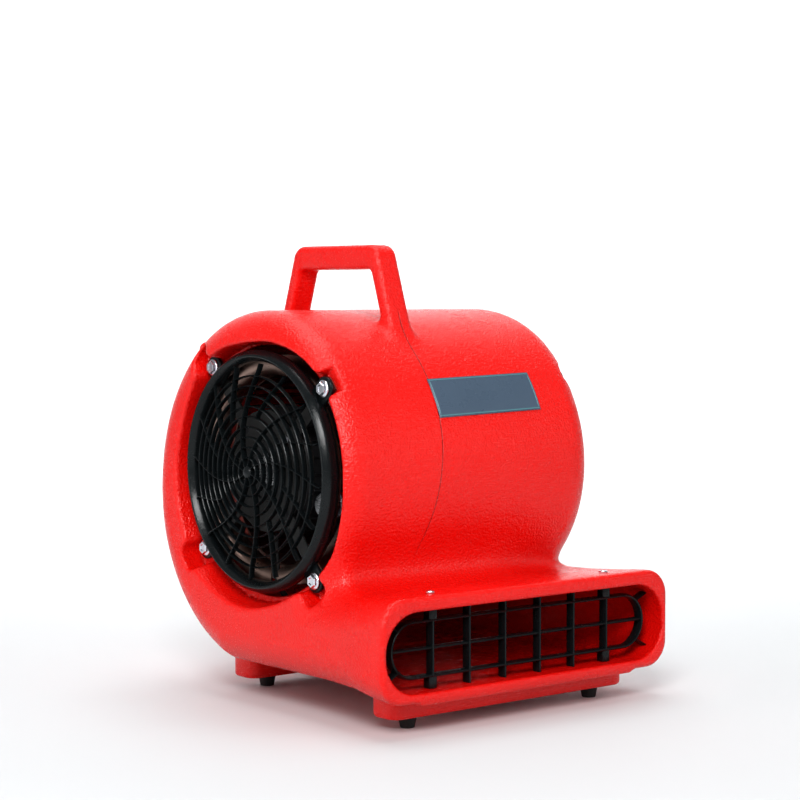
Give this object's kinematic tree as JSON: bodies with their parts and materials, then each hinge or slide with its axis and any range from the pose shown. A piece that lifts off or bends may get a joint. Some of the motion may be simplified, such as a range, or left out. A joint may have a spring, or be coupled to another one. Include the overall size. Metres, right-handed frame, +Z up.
{
  "type": "air mover",
  "caption": "Carry-handled floor blower: moulded volute housing, guarded side inlets, wide low outlet, squirrel-cage wheel on a motor, rear control panel.",
  "frame": {"origin": "on the floor under the centre of the object's bounding box", "axes": "+Z up, outlet towards -Y, blower axis along X with the motor side towards -X, controls towards +Y"},
  "size_m": [0.378, 0.416, 0.4645],
  "materials": {
    "moulded_red": "rotomoulded orange-peel texture, semi-gloss",
    "guard_black": "satin black moulded guard",
    "zinc": "bright zinc plate",
    "galvanised": "galvanised sheet",
    "bracket_black": "black painted sheet",
    "motor_black": "black enamel",
    "lamination": "stacked laminations",
    "bright_steel": "ground steel",
    "copper": "enamelled copper wire",
    "cast": "die cast",
    "can": "drawn can",
    "control_black": "satin black moulding",
    "cable_black": "sheathed cable",
    "button_red": "gloss",
    "lamp_amber": "clear amber lens",
    "foot_rubber": "matt",
    "plate": "blue-grey print on a thin plate, blank"
  },
  "bodies": {
    "shell": {"housing": "moulded_red", "inlet_grille_near": "guard_black", "inlet_grille_far": "guard_black", "outlet_grille": "guard_black", "near_bolt_1": "zinc", "near_bolt_2": "zinc", "near_bolt_3": "zinc", "near_bolt_4": "zinc", "far_bolt_1": "zinc", "far_bolt_2": "zinc", "far_bolt_3": "zinc", "far_bolt_4": "zinc", "outlet_screw_top_1": "zinc", "outlet_screw_top_2": "zinc", "outlet_screw_under_1": "zinc", "outlet_screw_under_2": "zinc", "foot_screw_1": "zinc", "foot_screw_2": "zinc", "foot_screw_3": "zinc", "foot_screw_4": "zinc", "motor_stud_1": "zinc", "motor_stud_2": "zinc", "motor_stud_3": "zinc", "motor_stud_4": "zinc", "panel_screw_1": "zinc", "panel_screw_2": "zinc", "panel_screw_3": "zinc", "panel_screw_4": "zinc", "capacitor_clip": "zinc", "inlet_ring_near": "galvanised", "inlet_ring_far": "galvanised", "motor_bracket": "bracket_black", "motor_front_bell": "motor_black", "motor_rear_bell": "motor_black", "stator_core": "lamination", "bearing_front": "bright_steel", "bearing_rear": "bright_steel", "winding_front": "copper", "winding_rear": "copper", "capacitor": "can", "control_panel": "control_black", "speed_switch_body": "control_black", "breaker_body": "control_black", "cable_gland": "control_black", "gland_nut": "control_black", "motor_lead": "cable_black", "pilot_lamp": "lamp_amber", "foot_1": "foot_rubber", "foot_2": "foot_rubber", "foot_3": "foot_rubber", "foot_4": "foot_rubber", "label_plate": "plate"},
    "rotor": {"blower_wheel": "galvanised", "wheel_hub": "cast", "hub_set_screw": "bright_steel", "motor_shaft": "bright_steel", "rotor_core": "lamination"},
    "knob": {"speed_knob": "control_black"},
    "button": {"reset_button": "button_red"}
  },
  "joints": [
    {"name": "wheel_spin", "type": "hinge", "parent": "shell", "child": "rotor", "pos_m": [0, 0.012, 0.237], "axis": [1, 0, 0], "continuous": true},
    {"name": "speed_knob_turn", "type": "hinge", "parent": "shell", "child": "knob", "pos_m": [0.05, 0.19, 0.25], "axis": [0, -1, 0], "range_deg": [0, 90]},
    {"name": "reset_button_press", "type": "slide", "parent": "shell", "child": "button", "axis": [0, -1, 0], "range_m": [0, 0.002], "stiffness_N_per_m": 300, "springref_m": -0.002}
  ]
}
